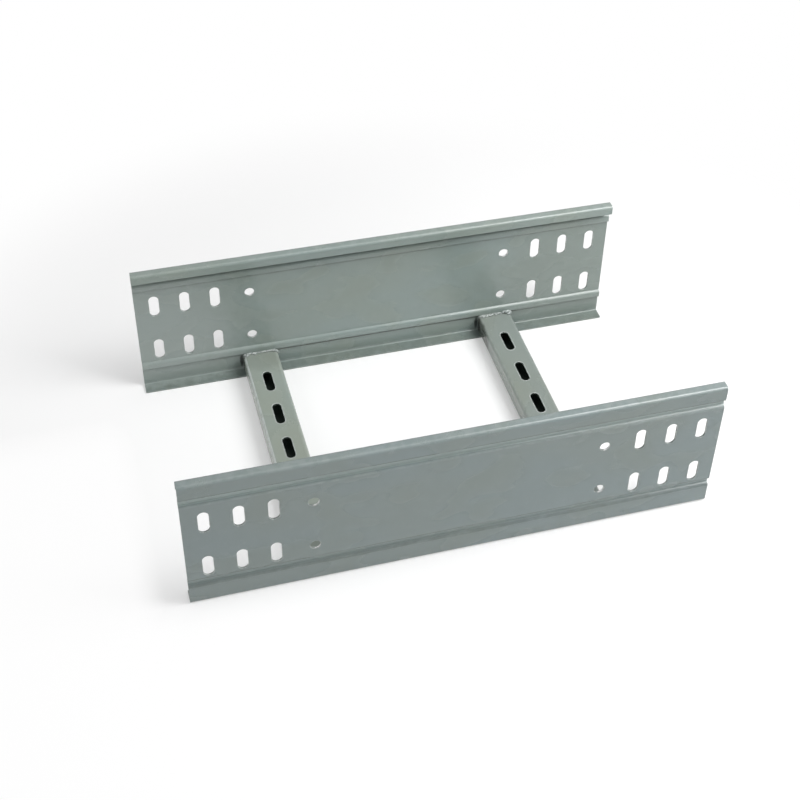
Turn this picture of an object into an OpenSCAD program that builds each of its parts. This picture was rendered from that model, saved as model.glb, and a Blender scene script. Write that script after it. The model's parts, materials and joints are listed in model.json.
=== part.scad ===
// Short section of welded cable ladder: two roll-formed side rails joined by two tubular rungs.
// Origin: bottom centre. X runs along the rails, Y across the ladder, Z up.

/* [Ladder] */
// Length of the side rails
ladder_l = 500; // [440:5:1200]
// Width over the outer faces of both rails
ladder_w = 300; // [200:1:600]
// Sheet thickness of rails and rungs
sheet_t = 2; // [1.5:0.1:2.2]

/* [Side rails] */
// Height of a rail
rail_h = 148; // [144:1:180]
// Width of the top flange, over the web and the lip
flange_w = 11; // [10:0.5:20]
// Height of the turned-down lip, over the top flange
lip_h = 9.5; // [8:0.5:14]
// Width of the foot flange that carries the rungs
foot_w = 14.5; // [13:0.5:25]
// Mid-sheet radius of the right-angle bends
bend_r = 2.2; // [2:0.1:3.5]
// Depth of the two stiffening ribs, pressed inwards
rib_depth = 3; // [2:0.1:4]
// Height of a rib where it leaves the web
rib_base = 9; // [8.5:0.5:10.5]
// Height of a rib's flat crest
rib_crest = 5.5; // [4.5:0.5:6]
// Mid-sheet radius of the rib bends
rib_r = 2; // [1.8:0.1:2.5]
// Depth of the upper rib's centre line below the top
upper_rib_drop = 20; // [19:0.5:24]
// Height of the lower rib's centre line
lower_rib_z = 26; // [25:0.5:28]

/* [Splice holes] */
// Number of slot columns at each end of a rail
slot_columns = 3; // [1:1:3]
// Distance from the rail's end to the first column
slot_margin = 19.5; // [15:0.5:25]
// Distance between columns
slot_pitch = 30.3; // [25:0.1:35]
// Distance between the two rows
slot_rows = 55.5; // [50:0.5:56]
// Height of a slot
slot_l = 25; // [18:0.5:26]
// Width of a slot
slot_w = 10; // [8:0.5:12]
// Distance from the rail's end to the round holes
hole_margin = 115; // [105:0.5:120]
// Diameter of the round holes
hole_d = 10; // [6:0.5:12]

/* [Rungs] */
// Distance between the centre lines of the two rungs
rung_pitch = 257; // [200:1:300]
// Width of a rung
rung_w = 36; // [30:1:45]
// Height of a rung
rung_h = 20; // [16:0.5:21]
// Outer corner radius of a rung
rung_r = 3.5; // [2.5:0.1:5]
// Number of slots in a rung's top
rung_slots = 5; // [1:1:5]
// Distance between the slots in a rung
rung_slot_pitch = 49.5; // [40:0.5:55]
// Length of a rung slot
rung_slot_l = 29.5; // [18:0.5:32]
// Width of a rung slot
rung_slot_w = 9; // [8:0.5:12]

/* [Hidden] */
$fn = 48;
bend_step = 9;
clear = 1;
paint = [0.56, 0.60, 0.58];

mid = sheet_t / 2;
outer_y = ladder_w / 2;
row_z = rail_h / 2;
rung_end_gap = sheet_t + rib_depth;
rung_l = ladder_w - 2 * rung_end_gap;

function unit(v) = v / norm(v);
function left_of(v) = [-v[1], v[0]];
function turned(v, angle) = [
    v[0] * cos(angle) - v[1] * sin(angle),
    v[0] * sin(angle) + v[1] * cos(angle)
];

// Points of one bend at corner b, between the legs a-b and b-c, a distance side to the left.
function bend(a, b, c, r, side) =
    let (u = unit(b - a), w = unit(c - b))
    let (turn = atan2(u[0] * w[1] - u[1] * w[0], u * w))
    let (hand = sign(turn), spoke = left_of(u) * hand)
    let (centre = b - u * r * tan(abs(turn) / 2) + spoke * r)
    let (steps = ceil(abs(turn) / bend_step))
    [for (k = [0 : steps]) centre - turned(spoke, turn * k / steps) * (r - side * hand)];

// One face of a sheet that follows the mid-line path, a distance side to the left of it.
function sheet_face(path, radii, side) =
    let (last = len(path) - 1)
    [
        path[0] + left_of(unit(path[1] - path[0])) * side,
        for (i = [1 : last - 1]) each bend(path[i - 1], path[i], path[i + 1], radii[i - 1], side),
        path[last] + left_of(unit(path[last] - path[last - 1])) * side
    ];

function reversed(list) = [for (i = [len(list) - 1 : -1 : 0]) list[i]];

function rib_path(z) = [
    [mid, z + rib_base / 2],
    [mid + rib_depth, z + rib_crest / 2],
    [mid + rib_depth, z - rib_crest / 2],
    [mid, z - rib_base / 2]
];

rail_path = [
    [flange_w - mid, rail_h - lip_h],
    [flange_w - mid, rail_h - mid],
    [mid, rail_h - mid],
    each rib_path(rail_h - upper_rib_drop),
    each rib_path(lower_rib_z),
    [mid, mid],
    [foot_w, mid]
];
rail_radii = [bend_r, bend_r, for (i = [1 : 8]) rib_r, bend_r];

module stadium(length, width) {
    square([width, length - width], center = true);
    for (end = [-1, 1])
        translate([0, end * (length - width) / 2]) circle(d = width);
}

module rounded_rect(width, height, r) {
    square([width - 2 * r, height], center = true);
    square([width, height - 2 * r], center = true);
    for (sx = [-1, 1], sy = [-1, 1])
        translate([sx * (width / 2 - r), sy * (height / 2 - r)]) circle(r);
}

// Rail section in the Y-Z plane, its outer face on Y = 0 and its flanges towards +Y.
module rail_section() {
    polygon(concat(
        sheet_face(rail_path, rail_radii, mid),
        reversed(sheet_face(rail_path, rail_radii, -mid))
    ));
}

module splice_holes() {
    rotate([90, 0, 0])
        linear_extrude(sheet_t + 2 * clear, center = true)
            for (end = [-1, 1], row = [-1, 1]) {
                for (column = [0 : slot_columns - 1])
                    translate([
                        end * (ladder_l / 2 - slot_margin - column * slot_pitch),
                        row_z + row * slot_rows / 2
                    ]) stadium(slot_l, slot_w);
                translate([
                    end * (ladder_l / 2 - hole_margin),
                    row_z + row * slot_rows / 2
                ]) circle(d = hole_d);
            }
}

// The rail on the -Y side of the ladder.
module side_rail() {
    difference() {
        translate([0, -outer_y, 0])
            rotate([90, 0, 90])
                linear_extrude(ladder_l, center = true) rail_section();
        translate([0, mid - outer_y, 0]) splice_holes();
    }
}

// A closed tube that stands on both foot flanges, its ends against the lower ribs.
module rung() {
    difference() {
        translate([0, 0, sheet_t + rung_h / 2])
            rotate([90, 0, 0])
                linear_extrude(rung_l, center = true)
                    difference() {
                        rounded_rect(rung_w, rung_h, rung_r);
                        rounded_rect(rung_w - 2 * sheet_t, rung_h - 2 * sheet_t, rung_r - sheet_t);
                    }
        for (i = [0 : rung_slots - 1])
            translate([0, (i - (rung_slots - 1) / 2) * rung_slot_pitch, rung_h - clear])
                linear_extrude(sheet_t + 2 * clear) stadium(rung_slot_l, rung_slot_w);
    }
}

module side_rail_front() {
    color(paint) side_rail();
}

module side_rail_back() {
    color(paint) mirror([0, 1, 0]) side_rail();
}

module rung_left() {
    color(paint) translate([-rung_pitch / 2, 0, 0]) rung();
}

module rung_right() {
    color(paint) translate([rung_pitch / 2, 0, 0]) rung();
}

side_rail_front();
side_rail_back();
rung_left();
rung_right();
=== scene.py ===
import json
import logging
import math
from dataclasses import dataclass
from enum import Enum
from typing import Any, Sequence, Union

import bpy
from mathutils import Matrix, Vector


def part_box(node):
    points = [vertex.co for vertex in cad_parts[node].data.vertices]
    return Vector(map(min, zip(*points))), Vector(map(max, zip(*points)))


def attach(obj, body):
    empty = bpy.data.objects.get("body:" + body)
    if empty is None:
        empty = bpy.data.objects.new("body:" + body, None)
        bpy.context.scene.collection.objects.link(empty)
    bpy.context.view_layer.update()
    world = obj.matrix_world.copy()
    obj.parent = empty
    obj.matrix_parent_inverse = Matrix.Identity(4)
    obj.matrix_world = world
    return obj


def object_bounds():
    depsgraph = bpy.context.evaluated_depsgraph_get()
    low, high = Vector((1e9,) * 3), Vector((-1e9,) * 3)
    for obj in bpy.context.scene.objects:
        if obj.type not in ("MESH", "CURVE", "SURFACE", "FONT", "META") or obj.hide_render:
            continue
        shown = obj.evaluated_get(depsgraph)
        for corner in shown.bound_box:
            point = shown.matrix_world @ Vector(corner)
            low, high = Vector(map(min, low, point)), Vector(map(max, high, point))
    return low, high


LOG = logging.getLogger("cable_ladder")
MM = 0.001
PER_METRE = (1.0 / MM,) * 3
Colour = tuple[float, float, float]
Number = Union["Value", float]
# The dark colours of painted shade and of the painted shadow in the gaps beside the rungs' ends.
SHADE: Colour = (0.05, 0.055, 0.045)
GAP_SHADOW: Colour = (0.008, 0.008, 0.007)

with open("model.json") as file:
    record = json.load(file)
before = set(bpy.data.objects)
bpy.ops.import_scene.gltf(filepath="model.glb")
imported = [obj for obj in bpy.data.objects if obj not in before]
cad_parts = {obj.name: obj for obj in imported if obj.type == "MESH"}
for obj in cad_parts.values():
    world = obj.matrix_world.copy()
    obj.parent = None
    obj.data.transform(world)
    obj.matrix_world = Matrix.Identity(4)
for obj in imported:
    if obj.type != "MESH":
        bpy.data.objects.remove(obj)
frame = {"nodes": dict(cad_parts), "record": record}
CAD_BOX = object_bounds()
RUNG_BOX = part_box("rung_left")
# The mounts that give the openings' places and sizes.
SLOTS, HOLES, CLEATS = (
    next(mount for mount in frame["record"]["mounts"] if mount["name"] == name)
    for name in ("splice_slots_back_right", "splice_holes_back_right", "cleat_slots_rung_left")
)


class Side(Enum):
    """The two ends of the ladder, along X."""

    LEFT = -1
    RIGHT = 1


class Rail(Enum):
    """The two side rails, along Y."""

    FRONT = -1
    BACK = 1


@dataclass(frozen=True)
class RailSize:
    """Sizes of a side rail, in millimetres.

    Attributes:
        height: Its height.
        outer: Distance of its outer face from the middle of the ladder.
        sheet: Thickness of its sheet.
        groove_heights: Heights of the middles of its two pressed grooves.
        groove_half: Half the width of a groove.
        groove_depth: Depth of a groove.
        shade_drop: How far under a groove's middle the shaded line is, on the inside.
        first_column: Distance of the outermost slots from the middle of the ladder.
        slot_pitch: Distance between the columns of slots.
        slot_rows: Height between the two rows.
        slot_length: Length of a slot.
        slot_width: Width of a slot.
        hole_column: Distance of the round holes from the middle of the ladder.
        hole_width: Diameter of a round hole.
        wall_low: Lowest height at which a face across the sheet counts as a hole's wall.
        wall_high: Highest such height.
    """

    height: float = CAD_BOX[1].z / MM
    outer: float = CAD_BOX[1].y / MM
    sheet: float = 2.0
    groove_heights: tuple[float, float] = (26.0, 128.0)
    groove_half: float = 4.5
    groove_depth: float = 3.0
    shade_drop: float = 5.8
    first_column: float = SLOTS["pos_m"][0] / MM
    slot_pitch: float = 30.3
    slot_rows: float = SLOTS["dims"]["spacing_y_mm"]
    slot_length: float = SLOTS["dims"]["slot_length_mm"]
    slot_width: float = 2 * SLOTS["dims"]["hole_r_mm"]
    hole_column: float = HOLES["pos_m"][0] / MM
    hole_width: float = 2 * HOLES["dims"]["hole_r_mm"]
    wall_low: float = 38.0
    wall_high: float = 110.0

    @property
    def slot_columns(self) -> tuple[float, float, float]:
        """Distances of the three columns of slots from the middle of the ladder."""
        return tuple(self.first_column - column * self.slot_pitch for column in range(3))


@dataclass(frozen=True)
class RungSize:
    """Sizes of a rung, in millimetres.

    Attributes:
        width: Its width.
        top: Height of its top face.
        end: Distance of its ends from the middle of the ladder.
        slots: Number of cleat slots.
        slot_pitch: Distance between their middles.
        slot_length: Length of a slot.
        slot_width: Width of a slot.
    """

    width: float = (RUNG_BOX[1].x - RUNG_BOX[0].x) / MM
    top: float = RUNG_BOX[1].z / MM
    end: float = RUNG_BOX[1].y / MM
    slots: int = 5
    slot_pitch: float = CLEATS["dims"]["spacing_y_mm"] / 2
    slot_length: float = CLEATS["dims"]["slot_length_mm"]
    slot_width: float = 2 * CLEATS["dims"]["hole_r_mm"]


@dataclass(frozen=True)
class Value:
    """A node's output that takes part in Python arithmetic and adds its Math nodes itself.

    Attributes:
        graph: The node tree that the socket belongs to.
        socket: The output socket that gives the number.
    """

    graph: "Graph"
    socket: bpy.types.NodeSocket

    def _math(self, operation: str, *others: Number) -> "Value":
        """This and the others through one Math node."""
        return self.graph.node("ShaderNodeMath", {"operation": operation}, [self, *others])

    def __add__(self, other: Number) -> "Value":
        """Sum of the two."""
        return self._math("ADD", other)

    __radd__ = __add__

    def __mul__(self, other: Number) -> "Value":
        """Product of the two."""
        return self._math("MULTIPLY", other)

    __rmul__ = __mul__

    def __sub__(self, other: Number) -> "Value":
        """This less the other."""
        return self._math("SUBTRACT", other)

    def __rsub__(self, other: float) -> "Value":
        """The other less this."""
        return self.graph.node("ShaderNodeMath", {"operation": "SUBTRACT"}, [other, self])

    def __truediv__(self, other: Number) -> "Value":
        """This over the other."""
        return self._math("DIVIDE", other)

    def __abs__(self) -> "Value":
        """Size without sign."""
        return self._math("ABSOLUTE")

    def above(self, other: Number) -> "Value":
        """One where this is over the other, zero elsewhere."""
        return self._math("GREATER_THAN", other)

    def below(self, other: Number) -> "Value":
        """One where this is under the other, zero elsewhere."""
        return self._math("LESS_THAN", other)

    def power(self, other: float) -> "Value":
        """This to the power of the other."""
        return self._math("POWER", other)

    def fraction(self) -> "Value":
        """What is left of this beyond a whole number."""
        return self._math("FRACT")

    def sine(self) -> "Value":
        """Sine of this angle."""
        return self._math("SINE")

    def larger(self, other: Number) -> "Value":
        """The larger of the two."""
        return self._math("MAXIMUM", other)

    def smaller(self, other: Number) -> "Value":
        """The smaller of the two."""
        return self._math("MINIMUM", other)

    def ramp(self, low: float, high: float, start: float = 0.0, end: float = 1.0) -> "Value":
        """Map the stretch from low to high smoothly onto start to end.

        Args:
            low: The value that gives start.
            high: The value that gives end.
            start: The result at low and below it.
            end: The result at high and above it.

        Returns:
            The mapped value.
        """
        return self.graph.node(
            "ShaderNodeMapRange",
            {"interpolation_type": "SMOOTHSTEP", "clamp": True},
            [self, low, high, start, end],
        )


class Graph:
    """A node tree that is built up call by call."""

    def __init__(self, tree: bpy.types.NodeTree) -> None:
        """Take over a tree, to add nodes to it."""
        self.tree = tree

    def node(
        self,
        kind: str,
        settings: dict[str, Any] | None = None,
        inputs: Sequence[Any] | dict[str, Any] = (),
        output: int | str = 0,
    ) -> "Value | None":
        """Add a node.

        Args:
            kind: The node's type name.
            settings: Properties to set on it before its sockets.
            inputs: Socket values or links, by place or by name.
            output: Which output to return, by place or by name.

        Returns:
            The chosen output, or None from a node that has none.
        """
        made = self.tree.nodes.new(kind)
        for key, value in (settings or {}).items():
            setattr(made, key, value)
        items = inputs.items() if isinstance(inputs, dict) else enumerate(inputs)
        for key, value in items:
            if isinstance(value, Value):
                self.tree.links.new(value.socket, made.inputs[key])
            else:
                made.inputs[key].default_value = value
        return Value(self, made.outputs[output]) if len(made.outputs) else None

    def parts(self, vector: Value) -> tuple[Value, Value, Value]:
        """The X, Y and Z of a vector."""
        split = self.node("ShaderNodeSeparateXYZ", inputs=[vector]).socket.node
        return tuple(Value(self, socket) for socket in split.outputs)

    def vector(self, x: Number, y: Number, z: Number) -> Value:
        """A vector from its three parts."""
        return self.node("ShaderNodeCombineXYZ", inputs=[x, y, z])


class Shader(Graph):
    """The node tree of one material."""

    def __init__(self, name: str) -> None:
        """Make an empty material.

        Args:
            name: The material's name.
        """
        self.material = bpy.data.materials.new(name)
        self.material.use_nodes = True
        super().__init__(self.material.node_tree)
        self.tree.nodes.clear()

    def place(self, scale: Sequence[float] = (1.0, 1.0, 1.0)) -> Value:
        """Position on the piece in metres, stretched by scale."""
        coordinates = self.node("ShaderNodeTexCoord", output="Object")
        return self.node("ShaderNodeVectorMath", {"operation": "MULTIPLY"}, [coordinates, scale])

    def millimetres(self) -> tuple[Value, Value, Value]:
        """The three parts of the position on the piece, in millimetres."""
        return self.parts(self.place(PER_METRE))

    def facing(self) -> tuple[Value, Value, Value]:
        """The three parts of the surface's own normal."""
        return self.parts(self.node("ShaderNodeTexCoord", output="Normal"))

    def noise(
        self,
        scale: float,
        detail: float = 2.0,
        roughness: float = 0.5,
        stretch: Sequence[float] = (1.0, 1.0, 1.0),
    ) -> Value:
        """Smooth random pattern from 0 to 1.

        Args:
            scale: Cells to the metre.
            detail: Number of finer layers.
            roughness: Weight of the finer layers.
            stretch: Factor on each axis before the pattern is taken.

        Returns:
            The pattern.
        """
        inputs = {"Vector": self.place(stretch), "Scale": scale, "Detail": detail, "Roughness": roughness}
        return self.node("ShaderNodeTexNoise", {"noise_dimensions": "3D"}, inputs, output="Fac")

    def mix(self, factor: Number, first: Any, second: Any) -> Value:
        """Blend two colours.

        Args:
            factor: Share of the second colour.
            first: Colour or link at factor 0.
            second: Colour or link at factor 1.

        Returns:
            The blended colour.
        """
        made = self.tree.nodes.new("ShaderNodeMix")
        made.data_type = "RGBA"
        made.clamp_factor = True
        for socket, value in zip((made.inputs[0], made.inputs[6], made.inputs[7]), (factor, first, second)):
            if isinstance(value, Value):
                self.tree.links.new(value.socket, socket)
            else:
                socket.default_value = (*value, 1.0) if isinstance(value, tuple) else value
        return Value(self, made.outputs[2])

    def bump(self, strength: float, distance: float, height: Value, **more: Value) -> Value:
        """The normal of a surface that follows a pattern of heights to a depth in metres."""
        inputs = {"Strength": strength, "Distance": distance, "Height": height, **more}
        return self.node("ShaderNodeBump", inputs=inputs)

    def surface(self, **sockets: Any) -> bpy.types.Material:
        """End the tree in a Principled shader.

        Args:
            **sockets: Values or links of its sockets, with _ for a space in a name.

        Returns:
            The finished material.
        """
        inputs = {
            key.replace("_", " "): (*value, 1.0) if isinstance(value, tuple) and len(value) == 3 else value
            for key, value in sockets.items()
        }
        shader = self.node("ShaderNodeBsdfPrincipled", inputs=inputs)
        self.node("ShaderNodeOutputMaterial", inputs={"Surface": shader})
        return self.material


@dataclass
class Coat:
    """Paint that is built up layer by layer in a shader.

    Attributes:
        shader: The shader that it is built in.
        colour: Its colour so far, linear.
        roughness: Its roughness so far.
        mottle: A fine pattern from 0 to 1 that breaks up its layers.
    """

    shader: Shader
    colour: "Value | Colour"
    roughness: Value
    mottle: Value

    def lay(
        self,
        share: Value,
        colour: Colour,
        broken: tuple[float, float, float, float] | None = None,
    ) -> None:
        """Cover a share of the paint with another colour.

        Args:
            share: The share to cover, from 0 to 1.
            colour: The colour to cover it with, linear.
            broken: Where the mottle starts and stops rising and the strength at each, if it
                breaks up the layer.
        """
        if broken:
            share = share * self.mottle.ramp(*broken)
        self.colour = self.shader.mix(share, self.colour, colour)


@dataclass(frozen=True)
class Mark:
    """A patch of painted shade or painted light on the paint.

    Attributes:
        place: Its middle, in millimetres.
        reach: How far it spreads along each axis, in millimetres.
        colour: Its colour, linear.
        strength: How far it covers the paint, from 0 to 1.
        ragged: How far the mottle breaks up its edge.
        edge: Where it starts and where it is at full strength, as shares of its reach squared.
    """

    place: tuple[float, float, float]
    reach: tuple[float, float, float]
    colour: Colour
    strength: float
    ragged: float = 0.9
    edge: tuple[float, float] = (1.0, 0.15)

    def lay(self, coat: Coat) -> None:
        """Lay the mark on a coat of paint."""
        parts = coat.shader.parts(coat.shader.place())
        x, y, z = (
            ((part - middle * MM) / (reach * MM)).power(2.0)
            for part, middle, reach in zip(parts, self.place, self.reach)
        )
        spread = x + y + z + self.ragged * (coat.mottle - 0.5)
        coat.lay(spread.ramp(*self.edge) * self.strength, self.colour)


@dataclass(frozen=True)
class SatinPaint:
    """Satin grey-green paint on rolled steel.

    Attributes:
        name: The material's name.
        colour: The paint's main colour, linear.
        warm: The slightly browner tint that it drifts to, as factors of the main colour.
        cool: The slightly bluer tint that it drifts to, as factors of the main colour.
        bare_and_highlight: The pale colour of cut edges and of edges where the paint is gone, and of the
            painted highlights along bends, rims and upward faces, linear.
        dirt_and_shade: The colour of dirt in corners, and of the painted shade in creases, under ribs, in
            holes and on undersides, linear.
        roughness: The paint's roughness.
        gloss: Weight of the glossier top layer.
        gloss_roughness: That layer's roughness.
        peel: Strength of the paint's fine orange peel.
        wave: Strength of the sheet's slight unevenness.
        marks: The patches of painted shade and painted light on it.
    """

    name: str
    colour: Colour = (0.190, 0.220, 0.208)
    warm: Colour = (0.99, 0.97, 0.92)
    cool: Colour = (0.98, 1.01, 1.06)
    bare_and_highlight: Colour = (0.42, 0.45, 0.44)
    dirt_and_shade: Colour = (0.055, 0.062, 0.053)
    roughness: float = 0.28
    gloss: float = 0.22
    gloss_roughness: float = 0.12
    peel: float = 0.05
    wave: float = 0.22
    marks: tuple[Mark, ...] = ()

    def times(self, *factors: float) -> Colour:
        """The main colour times one factor, or times one for each part."""
        return tuple(part * factor for part, factor in zip(self.colour, factors * (3 // len(factors))))

    def cover(self, node: str) -> None:
        """Paint one of the CAD's nodes."""
        frame["nodes"][node].material_slots[0].material = self.material()
        LOG.info("%s painted", node)

    def material(self) -> bpy.types.Material:
        """Build the paint.

        Returns:
            The finished material.
        """
        shader = Shader(self.name)
        drift = shader.noise(7.0, detail=1.0, stretch=(1.0, 1.0, 2.0)).ramp(0.35, 0.65)
        patch = shader.noise(21.0, detail=1.0, stretch=(1.0, 1.0, 1.6)).ramp(0.42, 0.70)
        speck = shader.noise(460.0, detail=1.0).ramp(0.72, 0.78)
        grain = shader.noise(1300.0, detail=2.0)
        mottle = shader.noise(130.0, detail=4.0, roughness=0.6)
        roughness = self.roughness + 0.08 * (patch - 0.5) + 0.05 * (grain - 0.5)
        coat = Coat(shader, self.colour, roughness, mottle)
        coat.lay(drift * 0.8, self.times(*self.cool))
        coat.lay(patch * 0.5, self.times(*self.warm))
        coat.lay(mottle.ramp(0.52, 0.80) * 0.05, self.dirt_and_shade)
        coat.lay(mottle.ramp(0.46, 0.20) * 0.06, self.bare_and_highlight)
        coat.lay(speck * 0.10, self.bare_and_highlight)
        self._wear_and_painted_light(coat)
        for mark in self.marks:
            mark.lay(coat)
        fine = shader.noise(620.0, detail=1.0) + 0.4 * grain
        peel = shader.bump(self.peel, 0.4 * MM, fine)
        coarse = shader.noise(13.0, detail=1.0, stretch=(1.0, 1.0, 0.8))
        return shader.surface(
            Base_Color=coat.colour,
            Roughness=coat.roughness,
            Normal=shader.bump(self.wave, 2.0 * MM, coarse, Normal=peel),
            Metallic=0.0,
            Coat_Weight=self.gloss,
            Coat_Roughness=self.gloss_roughness,
        )

    def _wear_and_painted_light(self, coat: Coat) -> None:
        """Lay on the wear, dirt, painted shade and painted highlights that follow the part's form; plain
        paint has none.
        """


@dataclass(frozen=True)
class RailPaint(SatinPaint):
    """Paint of a side rail: pale at its cut ends, with painted shade in its pressed grooves, in its holes and
    under its ribs, and painted highlights along its bends and round its openings.

    Attributes:
        size: The rail's sizes.
        hole_wall_highlight: The colour of the painted highlight on the lit walls of round holes, linear.
        painted_groove_light: How far the floors of the lower and upper groove are lightened with painted
            light.
        rib_shade: How dark the painted shade lines under the lower and upper rib are.
    """

    size: RailSize = RailSize()
    hole_wall_highlight: Colour = (0.95, 0.95, 0.95)
    painted_groove_light: tuple[float, float] = (0.40, 0.90)
    rib_shade: tuple[float, float] = (0.85, 0.30)

    def _wear_and_painted_light(self, coat: Coat) -> None:
        """Lay the wear, dirt, painted shade and painted highlights on the rail."""
        self._grooves(coat)
        self._bends(coat)
        self._openings(coat)

    def _grooves(self, coat: Coat) -> None:
        """Paint light on the grooves' floors, painted shade along their upper edges, along the lower groove's
        lower edge and under the ribs, and a painted highlight along the upper groove's lower edge.
        """
        size = self.size
        _, y, z = coat.shader.millimetres()
        beside = abs(y)
        floor = beside.above(size.outer - size.groove_depth - 0.8) * beside.below(size.outer - 1.6)
        lower = size.groove_heights[0]
        for middle, shine in zip(size.groove_heights, self.painted_groove_light):
            # Painted light on the groove's floor.
            coat.lay(floor * abs(z - middle).ramp(3.9, 2.6) * shine, self.times(1.6))
            # A painted shade line along the groove's upper edge.
            over = abs(z - (middle + size.groove_half - 0.4)).ramp(1.3, 0.5)
            coat.lay(beside.above(size.outer - 2.2) * over, self.dirt_and_shade, (0.30, 0.60, 0.50, 0.65))
            below = abs(z - (middle - size.groove_half))
            if middle == lower:
                # Painted shade along the lower groove's lower edge, with more roughness to dull its
                # highlight.
                edge = beside.above(size.outer - 2.8) * below.ramp(2.2, 0.8)
                coat.lay(edge, self.dirt_and_shade, (0.35, 0.62, 0.15, 0.32))
                coat.roughness = coat.roughness + 0.35 * edge
            else:
                # A painted highlight along the upper groove's lower edge.
                edge = beside.above(size.outer - 1.7) * below.ramp(1.4, 0.5)
                coat.lay(edge, self.bare_and_highlight, (0.35, 0.62, 0.04, 0.20))
        # Painted shade lines under the ribs, on the rail's inner face.
        inner = beside.below(size.outer - size.sheet + 0.4)
        for middle, shade in zip(size.groove_heights, self.rib_shade):
            line = inner * abs(z - (middle - size.shade_drop)).ramp(1.5, 0.6)
            coat.lay(line, self.dirt_and_shade, (0.30, 0.60, shade * 0.75, shade))

    def _bends(self, coat: Coat) -> None:
        """Darken the foot, and paint highlights on the bends at the foot and at the top."""
        size = self.size
        _, y, z = coat.shader.millimetres()
        beside = abs(y)
        # The foot's upper face is darkened.
        foot = z.ramp(3.0, 2.3) * beside.below(size.outer - 3.5)
        coat.lay(foot, self.dirt_and_shade, (0.30, 0.65, 0.22, 0.36))
        # A painted highlight along the crease between the web and the foot, on the inside.
        crease = beside.below(size.outer - size.sheet + 0.4) * abs(z - 3.6).ramp(1.6, 0.6)
        coat.lay(crease, self.bare_and_highlight, (0.35, 0.60, 0.15, 0.40))
        # A painted highlight along the top bend.
        bend = z.ramp(size.height - 2.4, size.height - 0.8)
        coat.lay(bend, self.bare_and_highlight, (0.35, 0.62, 0.03, 0.18))

    def _openings(self, coat: Coat) -> None:
        """Lighten the cut ends, paint shade on the walls of slots and holes and a highlight on the walls of
        round holes that face up and to the left, and lay a pale painted highlight ring and a dark smudge
        round every opening.
        """
        size = self.size
        x, _, z = coat.shader.millimetres()
        across, out, rise = coat.shader.facing()
        walls = z.above(size.wall_low) * z.below(size.wall_high) * abs(out).below(0.5)
        around = 1.0 - walls
        ends = abs(across).above(0.9) * around
        coat.lay(ends * 0.35, self.bare_and_highlight)
        # Painted shade on the walls of slots and holes.
        coat.lay(walls * 0.35, self.dirt_and_shade)
        hole_gap = self._hole_gap(x, z)
        # A painted highlight on the walls of round holes that face up and to the left.
        lit = walls * hole_gap.below(0.6) * (rise - across).ramp(0.7, 1.1)
        coat.lay(lit, self.hole_wall_highlight)
        gap = self._slot_gap(x, z).smaller(hole_gap)
        # A thin pale ring round each opening is a painted highlight, and a wider dark ring is a smudge.
        coat.lay(around * gap.ramp(0.75, 0.15), self.bare_and_highlight, (0.38, 0.60, 0.10, 0.55))
        coat.lay(around * gap.ramp(3.2, 0.6), self.dirt_and_shade, (0.45, 0.75, 0.0, 0.22))
        coat.roughness = coat.roughness + 0.15 * (ends - lit)

    def _slot_gap(self, x: Value, z: Value) -> Value:
        """Distance outside the nearest long slot, in millimetres."""
        size = self.size
        first, second, third = size.slot_columns
        along = abs(abs(x) - second)
        for column in (first, third):
            along = along.smaller(abs(abs(x) - column))
        up = abs(abs(z - size.height / 2) - size.slot_rows / 2)
        over = (up - (size.slot_length - size.slot_width) / 2).larger(0.0)
        return (over * over + along * along).power(0.5) - size.slot_width / 2

    def _hole_gap(self, x: Value, z: Value) -> Value:
        """Distance outside the nearest round hole, in millimetres."""
        size = self.size
        along = abs(x) - size.hole_column
        up = abs(z - size.height / 2) - size.slot_rows / 2
        return (along * along + up * up).power(0.5) - size.hole_width / 2


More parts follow.
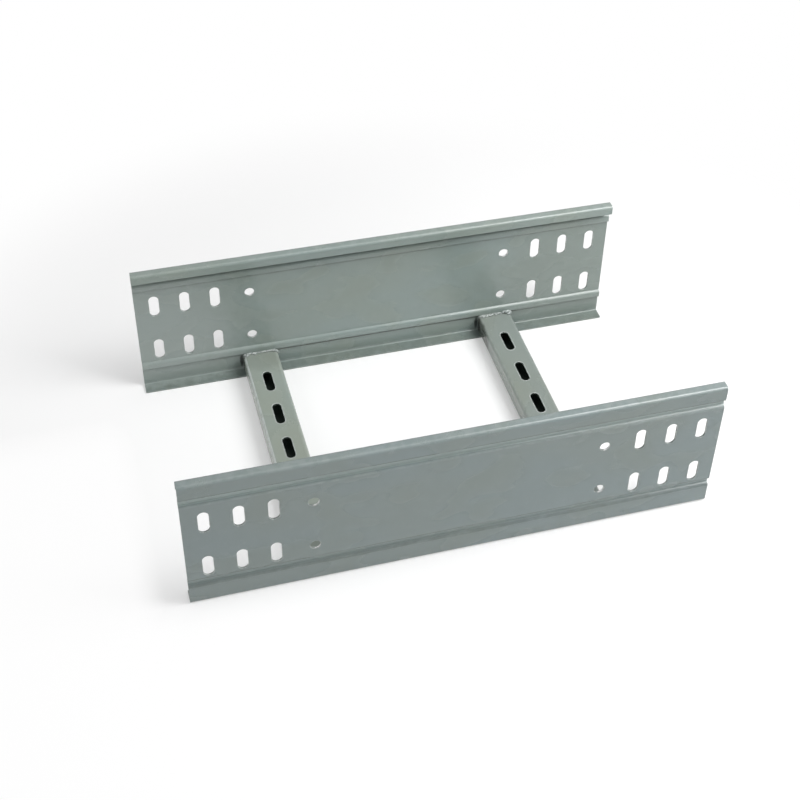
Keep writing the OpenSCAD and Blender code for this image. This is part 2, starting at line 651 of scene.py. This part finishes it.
@dataclass(frozen=True)
class RungPaint(SatinPaint):
    """Paint of a rung: painted shade inside the tube, painted highlights round its cleat slots and along its
    top corners, and painted light on its left side.

    Attributes:
        size: The rung's sizes.
        middle: Where the rung's middle is along X, in millimetres.
        inside: The colour of its unlit inner faces, linear.
        painted_left_light: How far its left side is lightened with painted light.
        corner: How strong the painted highlight on its left top corner is, from 0 to 1.
    """

    size: RungSize = RungSize()
    middle: float = 0.0
    inside: Colour = (0.060, 0.085, 0.070)
    painted_left_light: float = 0.55
    corner: float = 0.15

    def _wear_and_painted_light(self, coat: Coat) -> None:
        """Lay the painted highlights, painted light and painted shade on the rung."""
        size = self.size
        x, y, z = coat.shader.millimetres()
        off = abs(x - self.middle)
        slotted = size.slot_pitch * size.slots / 2
        over = abs(((y + slotted) / size.slot_pitch).fraction() * size.slot_pitch - size.slot_pitch / 2)
        over = (over - (size.slot_length - size.slot_width) / 2).larger(0.0)
        gap = (over * over + off * off).power(0.5) - size.slot_width / 2
        top = z.above(size.top - 0.6) * abs(y).below(slotted)
        # A pale ring round each cleat slot, a painted highlight.
        coat.lay(top * gap.ramp(1.5, 0.4), self.bare_and_highlight, (0.35, 0.60, 0.40, 0.75))
        # Painted highlights along the top corners.
        bends = off.ramp(size.width / 2 - 4.5, size.width / 2 - 1.5) * z.ramp(size.top - 4.0, size.top - 1.0)
        coat.lay(bends, self.bare_and_highlight, (0.38, 0.62, 0.02, 0.20))
        self._sides(coat)
        # Painted shade on the faces inside the tube and under its slots.
        walls = off.below(size.width / 2 - 1.8) * z.above(3.8) * z.below(size.top - 1.7)
        cuts = off.below(size.slot_width / 2 + 0.1) * z.above(3.8) * z.below(size.top - 0.25)
        within = walls.larger(cuts)
        coat.lay(within, self.inside)
        coat.roughness = coat.roughness + 0.3 * within

    def _sides(self, coat: Coat) -> None:
        """Paint light on the left side and a highlight on its top corner, and darken both sides towards the
        bottom.
        """
        _, _, z = coat.shader.millimetres()
        across, _, _ = coat.shader.facing()
        # Painted light on the left side.
        coat.lay(across.ramp(-0.4, -0.9) * self.painted_left_light, self.times(1.45))
        # A painted highlight along the left top corner.
        wear_and_highlight = across.ramp(-0.2, -0.5) * across.ramp(-0.97, -0.80) * self.corner
        coat.lay(wear_and_highlight, tuple(part * 1.5 for part in self.bare_and_highlight), (0.25, 0.50, 0.4, 1.0))
        # Both sides darker towards the bottom.
        coat.lay(z.ramp(9.0, 2.5), self.dirt_and_shade, (0.40, 0.70, 0.0, 0.25))


@dataclass(frozen=True)
class WeldPaint(SatinPaint):
    """Paint over a weld: lumpy, with painted highlights on its upward faces and painted shade on its
    undersides.
    """

    def _wear_and_painted_light(self, coat: Coat) -> None:
        """Paint highlights on the upward faces and shade on the undersides."""
        _, _, rise = coat.shader.facing()
        # Painted highlights in patches on the upward faces.
        painted_glints = coat.shader.noise(520.0, detail=2.0).ramp(0.42, 0.60) * rise.ramp(0.25, 0.75)
        coat.lay(painted_glints * 0.75, self.bare_and_highlight)
        # Painted shade on the undersides.
        coat.lay(rise.ramp(0.1, -0.5) * 0.6, self.dirt_and_shade)
        coat.roughness = coat.roughness - 0.08 * painted_glints


@dataclass(frozen=True)
class EdgePaint(SatinPaint):
    """Thin paint on a punched edge, gone through to the steel here and there."""

    def _wear_and_painted_light(self, coat: Coat) -> None:
        """Wear the paint through in patches."""
        wear_and_highlight = coat.shader.noise(240.0, detail=2.0).ramp(0.40, 0.62, 0.15, 0.80)
        coat.lay(wear_and_highlight, self.bare_and_highlight)
        coat.roughness = coat.roughness + 0.05 * wear_and_highlight


class Form(Graph):
    """A Geometry Nodes tree that turns points or lines into one finished piece."""

    def __init__(self, name: str, material: bpy.types.Material, inputs: dict[str, float | int]) -> None:
        """Start a tree.

        Args:
            name: The name of the piece that it makes.
            material: The piece's material.
            inputs: The tree's named inputs with their values.
        """
        super().__init__(bpy.data.node_groups.new(name + "_form", "GeometryNodeTree"))
        self.name = name
        self.material = material
        self.settings: dict[str, float | int] = {}
        tree = self.tree.interface
        tree.new_socket("Geometry", in_out="INPUT", socket_type="NodeSocketGeometry")
        tree.new_socket("Geometry", in_out="OUTPUT", socket_type="NodeSocketGeometry")
        for key, value in inputs.items():
            kind = "NodeSocketInt" if isinstance(value, int) else "NodeSocketFloat"
            socket = tree.new_socket(key, in_out="INPUT", socket_type=kind)
            self.settings[socket.identifier] = value
        self.inputs = self.tree.nodes.new("NodeGroupInput")

    def input(self, name: str) -> Value:
        """One of the tree's named inputs."""
        return Value(self, self.inputs.outputs[name])

    def attribute(self, name: str) -> Value:
        """A number that the points carry under this name."""
        return self.node("GeometryNodeInputNamedAttribute", {"data_type": "FLOAT"}, {"Name": name})

    def noise(self, scale: float, detail: float, draw: float, output: str = "Fac") -> Value:
        """Smooth random pattern that the input named Seed changes.

        Args:
            scale: Cells to the metre.
            detail: Number of finer layers.
            draw: Step between two seeds.
            output: Which output of the pattern.

        Returns:
            The pattern.
        """
        place = self.node("GeometryNodeInputPosition")
        seed = self.input("Seed") * draw
        inputs = {"Vector": place, "W": seed, "Scale": scale, "Detail": detail}
        return self.node("ShaderNodeTexNoise", {"noise_dimensions": "4D"}, inputs, output=output)

    def tube(self, curve: Value, scale: Value, sides: int) -> Value:
        """Sweep a circle of radius 1 along a curve.

        Args:
            curve: The line that it follows.
            scale: The tube's radius.
            sides: Number of sides of the tube.

        Returns:
            The closed mesh of the tube.
        """
        ring = self.node("GeometryNodeCurvePrimitiveCircle", inputs={"Resolution": sides, "Radius": 1.0})
        return self.node(
            "GeometryNodeCurveToMesh",
            inputs={"Curve": curve, "Profile Curve": ring, "Scale": scale, "Fill Caps": True},
        )

    def finish(
        self,
        geometry: Value,
        slot: str,
        points: Sequence[Vector],
        edges: Sequence[tuple[int, int]] = (),
        faces: Sequence[tuple[int, ...]] = (),
        bulk: Sequence[float] = (),
    ) -> bpy.types.Object:
        """End the tree, run it on the given points and keep the result as a plain mesh.

        Args:
            geometry: The tree's result.
            slot: The record's material slot of the piece; not used.
            points: The points that it starts from, in metres.
            edges: The lines between them.
            faces: The faces between them.
            bulk: A size for each point, if the tree asks for it.

        Returns:
            The finished piece, riding on the body.
        """
        real = self.node("GeometryNodeRealizeInstances", inputs={"Geometry": geometry})
        smooth = self.node("GeometryNodeSetShadeSmooth", inputs={"Geometry": real, "Shade Smooth": True})
        painted = self.node("GeometryNodeSetMaterial", inputs={"Geometry": smooth, "Material": self.material})
        self.node("NodeGroupOutput", inputs=[painted])
        mesh = bpy.data.meshes.new(self.name)
        mesh.from_pydata(points, edges, faces)
        if bulk:
            mesh.attributes.new("bulk", "FLOAT", "POINT").data.foreach_set("value", bulk)
        piece = bpy.data.objects.new(self.name, mesh)
        bpy.context.scene.collection.objects.link(piece)
        modifier = piece.modifiers.new("form", "NODES")
        modifier.node_group = self.tree
        for identifier, value in self.settings.items():
            modifier[identifier] = value
        bpy.context.view_layer.update()
        evaluated = piece.evaluated_get(bpy.context.evaluated_depsgraph_get())
        made = bpy.data.meshes.new_from_object(evaluated)
        piece.modifiers.clear()
        made.name = self.name
        piece.data = made
        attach(piece, "root")
        LOG.info("%s: %d faces", self.name, len(made.polygons))
        return piece


@dataclass(frozen=True)
class PunchedEdges:
    """The thin rolled-over rims that a punch leaves round slots and holes.

    Attributes:
        finish: The rims' material.
        thickness: Radius of the rim's section, in millimetres.
        growth: How far outside the opening the rim's middle runs, in millimetres.
    """

    finish: bpy.types.Material
    thickness: float = 0.30
    growth: float = 0.18

    def make(
        self, name: str, middles: list[Vector], length: float, width: float, upright: bool, slot: str
    ) -> bpy.types.Object:
        """Make the rims of one set of like openings.

        Args:
            name: The piece's name.
            middles: The openings' middles, in millimetres.
            length: Length of an opening, the same as its width for a round hole.
            width: Width of an opening.
            upright: Whether the openings are in an upright sheet, else in a level one.
            slot: The record's material slot of the piece.

        Returns:
            The finished piece.
        """
        form = Form(
            name,
            self.finish,
            {
                "Length": (length + 2 * self.growth) * MM,
                "Width": (width + 2 * self.growth) * MM,
                "Thickness": self.thickness * MM,
                "Seed": len(middles),
            },
        )
        box = form.node(
            "GeometryNodeCurvePrimitiveQuadrilateral",
            {"mode": "RECTANGLE"},
            {"Width": form.input("Width"), "Height": form.input("Length")},
        )
        outline = form.node(
            "GeometryNodeFilletCurve",
            {"mode": "POLY"},
            {"Curve": box, "Count": 9, "Radius": form.input("Width") * 0.4999, "Limit Radius": True},
        )
        turn = (math.pi / 2, 0.0, 0.0) if upright else (0.0, 0.0, 0.0)
        placed = form.node(
            "GeometryNodeInstanceOnPoints",
            inputs={"Points": form.input("Geometry"), "Instance": outline, "Rotation": turn},
        )
        lines = form.node("GeometryNodeRealizeInstances", inputs={"Geometry": placed})
        uneven = 0.75 + 0.5 * form.noise(260.0, detail=2.0, draw=1.0)
        rim = form.tube(lines, form.input("Thickness") * uneven, 8)
        return form.finish(rim, slot, [middle * MM for middle in middles])


@dataclass(frozen=True)
class Run:
    """One stroke of weld metal.

    Attributes:
        steps: Its points: place along the rung's end, inward, upward, and radius, in millimetres.
    """

    steps: tuple[tuple[float, float, float, float], ...]


@dataclass(frozen=True)
class WeldBead:
    """The painted-over weld where a rung's end meets a rail.

    Attributes:
        finish: The weld's material.
        size: The rung's sizes.
        step: Distance between the points along a stroke, in millimetres.
        wobble: How far a stroke wanders, in millimetres.
        ripple: Height of its ripples, as a share of its radius.
        pitch: Distance between its ripples, in millimetres.
    """

    finish: bpy.types.Material
    size: RungSize = RungSize()
    step: float = 0.35
    wobble: float = 0.55
    ripple: float = 0.10
    pitch: float = 1.1

    def make(self, name: str, middle: float, rail: Rail, runs: Sequence[Run], seed: int) -> bpy.types.Object:
        """Lay the weld at one end of a rung.

        Args:
            name: The piece's name.
            middle: The rung's middle along X, in millimetres.
            rail: The rail that it is welded to.
            runs: The strokes that make it up.
            seed: Picks its random unevenness.

        Returns:
            The finished piece.
        """
        inputs = {"Step": self.step * MM, "Wobble": self.wobble * MM, "Ripple": self.ripple, "Seed": seed}
        form = Form(name, self.finish, inputs)
        spine = form.node("GeometryNodeMeshToCurve", inputs={"Mesh": form.input("Geometry")})
        soft = form.node("GeometryNodeCurveSplineType", {"spline_type": "CATMULL_ROM"}, {"Curve": spine})
        fine = form.node(
            "GeometryNodeResampleCurve", {"mode": "LENGTH"}, {"Curve": soft, "Length": form.input("Step")}
        )
        jitter = form.noise(330.0, detail=1.0, draw=3.7, output="Color")
        centred = form.node("ShaderNodeVectorMath", {"operation": "SUBTRACT"}, [jitter, (0.5, 0.5, 0.5)])
        shift = form.node(
            "ShaderNodeVectorMath", {"operation": "SCALE"}, {"Vector": centred, "Scale": form.input("Wobble")}
        )
        moved = form.node("GeometryNodeSetPosition", inputs={"Geometry": fine, "Offset": shift})
        along, _, _ = form.parts(form.node("GeometryNodeInputPosition"))
        ripple = (along * (2 * math.pi / (self.pitch * MM))).sine() * form.input("Ripple")
        uneven = 0.75 + 0.5 * form.noise(420.0, detail=1.0, draw=1.3) + ripple
        bead = form.tube(moved, form.attribute("bulk") * uneven, 12)
        points, edges, bulk = [], [], []
        for run in runs:
            for place, (along_end, inward, upward, radius) in enumerate(run.steps):
                if place:
                    edges.append((len(points) - 1, len(points)))
                depth = rail.value * (self.size.end - inward)
                points.append(Vector((middle + along_end, depth, self.size.top + upward)) * MM)
                bulk.append(radius * MM)
        return form.finish(bead, "rung_paint", points, edges=edges, bulk=bulk)


@dataclass(frozen=True)
class Spatter:
    """Small drops of weld metal thrown onto a rung beside its weld.

    Attributes:
        finish: The drops' material.
        size: The rung's sizes.
        density: Drops to the square metre.
        radius: A middling drop's radius, in millimetres.
        reach: Where they start and end, from the rung's end, in millimetres.
        margin: Strip without drops along the rung's sides, in millimetres.
        sunk: How far their middles are below the rung's top, in millimetres.
    """

    finish: bpy.types.Material
    size: RungSize = RungSize()
    density: float = 32000.0
    radius: float = 0.30
    reach: tuple[float, float] = (2.5, 14.0)
    margin: float = 4.0
    sunk: float = 0.05

    def make(self, name: str, middle: float, rail: Rail, seed: int) -> bpy.types.Object:
        """Scatter the drops at one end of a rung.

        Args:
            name: The piece's name.
            middle: The rung's middle along X, in millimetres.
            rail: The rail at this end.
            seed: Picks where they fall.

        Returns:
            The finished piece.
        """
        form = Form(name, self.finish, {"Drops": self.density, "Radius": self.radius * MM, "Seed": seed})
        points = form.node(
            "GeometryNodeDistributePointsOnFaces",
            {"distribute_method": "RANDOM"},
            {"Mesh": form.input("Geometry"), "Density": form.input("Drops"), "Seed": form.input("Seed")},
        )
        ball = {"Radius": form.input("Radius"), "Subdivisions": 2}
        drop = form.node("GeometryNodeMeshIcoSphere", inputs=ball, output="Mesh")
        size = form.node(
            "FunctionNodeRandomValue", {"data_type": "FLOAT"}, {2: 0.5, 3: 1.5, "Seed": form.input("Seed")}, 1
        )
        placed = form.node(
            "GeometryNodeInstanceOnPoints",
            inputs={"Points": points, "Instance": drop, "Scale": form.vector(size * 1.2, size, size * 0.6)},
        )
        half = self.size.width / 2 - self.margin
        near, far = (rail.value * (self.size.end - inward) for inward in self.reach)
        corners = [
            Vector((middle + x, y, self.size.top - self.sunk)) * MM
            for x, y in ((-half, near), (half, near), (half, far), (-half, far))
        ]
        return form.finish(placed, "rung_paint", corners, faces=[(0, 1, 2, 3)])


@dataclass(frozen=True)
class SideRail:
    """One side rail: its paint and the rims of its openings.

    Attributes:
        node: The CAD node's name.
        rail: Which rail it is.
        paint: Its paint.
        nearer: How much nearer to the sheet's face its inner rims are than its outer ones, in millimetres.
    """

    node: str
    rail: Rail
    paint: RailPaint
    nearer: float = 0.10

    def dress(self, rims: PunchedEdges) -> None:
        """Paint the rail and add its rims."""
        self.paint.cover(self.node)
        size, name = self.paint.size, self.rail.name.lower()
        sunk = rims.thickness * 1.25
        inner = size.outer - size.sheet + sunk - self.nearer
        for face, depth in (("outer", size.outer - sunk), ("inner", inner)):
            for kind, columns, length, width in (
                ("slot", size.slot_columns, size.slot_length, size.slot_width),
                ("hole", (size.hole_column,), size.hole_width, size.hole_width),
            ):
                middles = self._middles(columns, depth)
                rims.make(f"{kind}_rims_{name}_{face}", middles, length, width, True, "rail_paint")

    def _middles(self, columns: Sequence[float], depth: float) -> list[Vector]:
        """Middles of the openings in these columns, at this distance from the middle of the ladder."""
        size = self.paint.size
        return [
            Vector((end.value * column, self.rail.value * depth, (size.height + row * size.slot_rows) / 2))
            for end in Side
            for column in columns
            for row in (-1, 1)
        ]


@dataclass(frozen=True)
class Rung:
    """One rung: its paint, the rims of its slots, its welds and their spatter.

    Attributes:
        node: The CAD node's name.
        runs: The strokes of its weld at the back rail.
        seed: Picks its welds' random unevenness.
        colour: Its paint's colour, linear.
        shade: How dark its left side is near the back rail, from 0 to 1.
        corner: How strong the painted highlight on its left top corner is, from 0 to 1.
        size: Its sizes.
        raised: How far the rims of its slots stand above its top, in millimetres.
    """

    node: str
    runs: Sequence[Run]
    seed: int
    colour: Colour
    shade: float
    corner: float
    size: RungSize = RungSize()
    raised: float = 0.12

    def dress(self, rims: PunchedEdges, weld: bpy.types.Material) -> None:
        """Paint the rung and add its rims, welds and spatter.

        Args:
            rims: What makes its rims.
            weld: The material of its welds.
        """
        size = self.size
        low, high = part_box(self.node)
        middle = (low.x + high.x) / 2 / MM
        name = self.node.replace("rung", "rung_paint")
        marks = self._marks(low.x / MM)
        RungPaint(name, self.colour, middle=middle, corner=self.corner, marks=marks).cover(self.node)
        level = size.top - rims.thickness + self.raised
        slots = [
            Vector((middle, (i - (size.slots - 1) / 2) * size.slot_pitch, level)) for i in range(size.slots)
        ]
        rims.make(f"slot_rims_{self.node}", slots, size.slot_length, size.slot_width, False, "rung_paint")
        for rail, runs in ((Rail.BACK, self.runs), (Rail.FRONT, HIDDEN_WELD)):
            end, seed = f"{self.node}_{rail.name.lower()}", self.seed + rail.value
            WeldBead(weld).make(f"weld_{end}", middle, rail, runs, seed)
            Spatter(weld).make(f"spatter_{end}", middle, rail, seed + 10)

    def _marks(self, left: float) -> tuple[Mark, ...]:
        """The painted shade by the back rail: on the left side, in the gap at its end and on the top; left is
        the rung's left side along X, in millimetres.
        """
        size = self.size
        top_shade = max(0.0, 0.20 - 0.4 * self.shade)
        return (
            # Painted shade on the left side, a painted shadow in the gap at the end, and painted shade on the
            # top.
            Mark((left, size.end - 17.0, 12.0), (3.0, 26.0, 16.0), SHADE, self.shade),
            Mark((left, size.end - 3.0, 11.0), (3.0, 4.5, 13.0), GAP_SHADOW, 0.92),
            Mark((left + size.width / 2, size.end - 11.0, size.top), (26.0, 22.0, 3.0), SHADE, top_shade),
        )


HIDDEN_WELD = (
    Run((
        (-16.5, -0.2, 0.1, 0.9), (-13.0, 0.6, 0.8, 1.5), (-8.0, 0.3, 0.7, 1.3), (-3.0, 0.7, 0.9, 1.5),
        (2.0, 0.3, 0.7, 1.3), (7.0, 0.7, 0.9, 1.5), (12.0, 0.4, 0.8, 1.4), (16.5, 0.2, 0.1, 0.9),
    )),
)
FILLET = Run((
    (-17.3, -0.7, -1.6, 0.9), (-14.0, -0.4, 0.2, 1.2), (-7.0, -0.5, 0.3, 1.0), (0.0, -0.5, 0.3, 1.0),
    (7.0, -0.5, 0.3, 1.0), (13.0, -0.4, 0.3, 1.2), (17.3, -0.7, -1.6, 0.9),
))
LEFT_WELD = (
    FILLET,
    Run((
        (-17.4, 0.9, -1.0, 0.6), (-16.0, 1.9, 0.2, 1.0), (-14.6, 3.0, 0.4, 1.1), (-13.0, 1.9, 0.5, 1.1),
        (-11.4, 1.2, 0.4, 0.5),
    )),
    Run(((-9.4, 1.3, 0.3, 0.4), (-7.6, 1.0, 0.5, 0.8), (-5.4, 2.0, 0.5, 1.1), (-3.4, 1.2, 0.5, 0.5))),
    Run(((-2.0, 0.9, 0.5, 0.4), (4.0, 0.9, 0.6, 0.5), (11.0, 0.9, 0.6, 0.5))),
    Run(((11.0, 0.4, 0.6, 0.9), (14.0, 1.0, 0.7, 1.7), (17.0, 1.4, -0.2, 1.8), (18.5, 1.6, -2.6, 1.2))),
)
RIGHT_WELD = (
    FILLET,
    Run((
        (-16.8, 2.2, 0.1, 0.5), (-15.0, 1.0, 0.6, 1.0), (-13.3, 2.6, 0.3, 1.0), (-11.4, 1.0, 0.7, 1.1),
        (-9.4, 2.4, 0.3, 1.0), (-7.2, 1.0, 0.7, 1.1), (-5.0, 2.2, 0.3, 1.0), (-3.0, 0.8, 0.7, 1.0),
        (-1.2, 1.8, 0.3, 0.5),
    )),
    Run((
        (0.2, 0.8, 0.6, 0.4), (2.0, 1.8, 0.3, 0.6), (4.0, 0.7, 0.7, 0.5), (6.0, 1.8, 0.3, 0.6),
        (8.0, 0.7, 0.7, 0.5),
    )),
    Run((
        (8.6, 1.2, 0.4, 1.0), (10.6, 0.0, 1.5, 1.6), (13.0, 1.4, 1.5, 1.8), (15.4, 0.0, 1.6, 1.8),
        (17.2, 1.5, 0.8, 1.8), (16.2, 3.2, 0.3, 1.5), (13.8, 3.4, 0.2, 1.0),
    )),
)


# Painted light and shade on the back rail: a lighter patch on its left half, a darker one on its right half,
# and painted shadows in the gaps beside the rungs' left sides.
BACK_RAIL_MARKS = (
    Mark((-250.0, 147.0, 60.0), (150.0, 12.0, 110.0), (0.262, 0.303, 0.288), 0.80),
    Mark((250.0, 147.0, 60.0), (170.0, 12.0, 80.0), (0.195, 0.232, 0.213), 0.80),
    Mark((-148.0, 147.5, 12.0), (2.4, 3.0, 10.0), GAP_SHADOW, 0.80),
    Mark((109.0, 147.5, 12.0), (2.4, 3.0, 10.0), GAP_SHADOW, 0.80),
)


@dataclass(frozen=True)
class Softbox:
    """A soft square lamp aimed at the ladder.

    Attributes:
        name: The lamp's name.
        place: Where it hangs, in metres.
        size: Its width and height, in metres.
        power: Its power, in watts.
        aim: The point that it faces.
    """

    name: str
    place: tuple[float, float, float]
    size: tuple[float, float]
    power: float
    aim: tuple[float, float, float] = (0.0, 0.0, 0.05)

    def hang(self) -> None:
        """Add the lamp to the scene."""
        data = bpy.data.lights.new(self.name, "AREA")
        data.shape = "RECTANGLE"
        data.size, data.size_y = self.size
        data.energy = self.power
        lamp = bpy.data.objects.new(self.name, data)
        lamp.location = self.place
        facing = Vector(self.aim) - Vector(self.place)
        lamp.rotation_euler = facing.to_track_quat("-Z", "Y").to_euler()
        bpy.context.scene.collection.objects.link(lamp)


@dataclass(frozen=True)
class Studio:
    """White floor, soft lamps and the camera.

    Attributes:
        azimuth: Turn of the camera about Z, in degrees, to the left of straight ahead.
        elevation: Angle of the camera above the floor, in degrees.
        roll: Turn of the camera about its own axis, in degrees.
        distance: Distance from the camera to its target.
        target: The point that the camera is aimed at.
        lens: Focal length, in millimetres on a 36 mm sensor.
        shift: Sideways and upward shift of the view, as shares of its width.
        floor_size: Length of the floor's sides.
        floor_glow: Share of plain white in the floor beside the ladder.
        glow_reach: Distances from the ladder's middle over which the floor turns plain white.
        glow_left: X over which it does so at the left.
        glow_left_depth: Y over which it does so at the left.
        glow_front: Y over which it does so at the front.
        glow_beside: Share of plain white at the left and the front.
        sky: Strength of the even light from all round.
        lamps: The soft lamps.
    """

    azimuth: float = -18.58
    elevation: float = 41.58
    roll: float = 2.87
    distance: float = 1.4465
    target: tuple[float, float, float] = (0.04422, 0.01918, 0.075)
    lens: float = 65.89
    shift: tuple[float, float] = (-0.06875, -0.04375)
    floor_size: float = 12.0
    floor_glow: float = 0.32
    glow_reach: tuple[float, float] = (0.40, 0.64)
    glow_left: tuple[float, float] = (-0.25, -0.30)
    glow_left_depth: tuple[float, float] = (0.15, 0.05)
    glow_front: tuple[float, float] = (-0.11, -0.20)
    glow_beside: float = 0.85
    sky: float = 0.34
    lamps: tuple[Softbox, ...] = (
        Softbox("key", (0.74, -0.30, 1.10), (0.60, 0.90), 16.5),
        Softbox("front_right", (0.9, -1.1, 1.0), (0.8, 0.8), 4.0),
        Softbox("front_left", (-0.9, -1.2, 1.0), (0.8, 0.8), 4.0),
        Softbox("left", (-1.4, 0.1, 1.0), (0.8, 0.8), 3.0),
        Softbox("overhead", (0.2, 0.1, 1.6), (1.0, 1.0), 4.0),
        Softbox("behind", (0.9, 1.2, 1.3), (1.0, 0.8), 0.6),
    )

    def build(self) -> None:
        """Make the floor, world, lamps and camera."""
        self._floor()
        self._world()
        for lamp in self.lamps:
            lamp.hang()
        self._camera()
        bpy.context.scene.view_settings.view_transform = "Standard"

    def _floor(self) -> None:
        """Lay a white floor that keeps soft shadows beside the ladder."""
        half = self.floor_size / 2
        mesh = bpy.data.meshes.new("floor")
        mesh.from_pydata(
            [(-half, -half, 0), (half, -half, 0), (half, half, 0), (-half, half, 0)], [], [(0, 1, 2, 3)]
        )
        floor = bpy.data.objects.new("floor", mesh)
        bpy.context.scene.collection.objects.link(floor)
        shader = Shader("floor_white")
        diffuse = shader.node("ShaderNodeBsdfDiffuse", inputs={"Color": (0.9, 0.9, 0.9, 1.0)})
        glow = shader.node("ShaderNodeEmission", inputs={"Color": (1.0, 1.0, 1.0, 1.0), "Strength": 1.0})
        seen = shader.node("ShaderNodeLightPath", output="Is Camera Ray")
        for ray in ("Is Glossy Ray", "Is Transmission Ray"):
            seen = seen.larger(shader.node("ShaderNodeLightPath", output=ray))
        away = shader.node("ShaderNodeVectorMath", {"operation": "LENGTH"}, [shader.place()], output="Value")
        along, depth, _ = shader.parts(shader.place())
        left = along.ramp(*self.glow_left) * depth.ramp(*self.glow_left_depth)
        beside = depth.ramp(*self.glow_front).larger(left) * self.glow_beside
        share = seen * away.ramp(*self.glow_reach, self.floor_glow, 1.0).larger(beside)
        mixed = shader.node("ShaderNodeMixShader", inputs=[share, diffuse, glow])
        shader.node("ShaderNodeOutputMaterial", inputs={"Surface": mixed})
        mesh.materials.append(shader.material)

    def _world(self) -> None:
        """Light the scene evenly, with a sky that the camera alone sees brighter."""
        world = bpy.data.worlds.new("studio_sky")
        bpy.context.scene.world = world
        world.use_nodes = True
        graph = Graph(world.node_tree)
        graph.tree.nodes.clear()
        seen = graph.node("ShaderNodeLightPath", output="Is Camera Ray")
        level = {"Strength": seen.ramp(0.0, 1.0, self.sky, 1.0)}
        background = graph.node("ShaderNodeBackground", inputs=level)
        graph.node("ShaderNodeOutputWorld", inputs={"Surface": background})

    def _camera(self) -> None:
        """Set up the camera from its angles."""
        turn, lift = math.radians(self.azimuth), math.radians(self.elevation)
        back = Vector((math.sin(turn) * math.cos(lift), -math.cos(turn) * math.cos(lift), math.sin(lift)))
        right = Vector((0, 0, 1)).cross(back).normalized()
        up = back.cross(right)
        roll = math.radians(self.roll)
        across = right * math.cos(roll) + up * math.sin(roll)
        upward = up * math.cos(roll) - right * math.sin(roll)
        data = bpy.data.cameras.new("camera")
        data.sensor_width = 36.0
        data.lens = self.lens
        data.shift_x, data.shift_y = self.shift
        camera = bpy.data.objects.new("camera", data)
        turned = Matrix((across, upward, back)).transposed()
        camera.matrix_world = Matrix.Translation(Vector(self.target) + back * self.distance) @ turned.to_4x4()
        bpy.context.scene.collection.objects.link(camera)
        bpy.context.scene.camera = camera


def main(studio: Studio = Studio()) -> None:
    """Build the studio and dress the ladder.

    Args:
        studio: The floor, lights and camera to use.
    """
    logging.basicConfig(level=logging.INFO, format="%(message)s")
    studio.build()
    rims = PunchedEdges(EdgePaint("punched_edge", bare_and_highlight=(0.60, 0.64, 0.61)).material())
    weld = WeldPaint("weld_paint", (0.24, 0.27, 0.255), bare_and_highlight=(0.62, 0.66, 0.64), roughness=0.26).material()
    # The two rails' colours are a darker copy of one paint for the front rail and a lighter one for the back
    # rail, painted shade and painted light for how the light falls on each.
    front = RailPaint("rail_paint_front", (0.184, 0.221, 0.213))
    back = RailPaint("rail_paint_back", (0.227, 0.272, 0.248), marks=BACK_RAIL_MARKS)
    SideRail("side_rail_front", Rail.FRONT, front).dress(rims)
    SideRail("side_rail_back", Rail.BACK, back).dress(rims)
    # The rungs' colours are likewise a lighter copy of one paint for the left rung and a darker one for the
    # right, painted light and painted shade.
    Rung("rung_left", LEFT_WELD, 3, (0.270, 0.305, 0.268), shade=0.10, corner=0.80).dress(rims, weld)
    Rung("rung_right", RIGHT_WELD, 7, (0.228, 0.257, 0.232), shade=0.80, corner=0.10).dress(rims, weld)


if __name__ == "__main__":
    main()
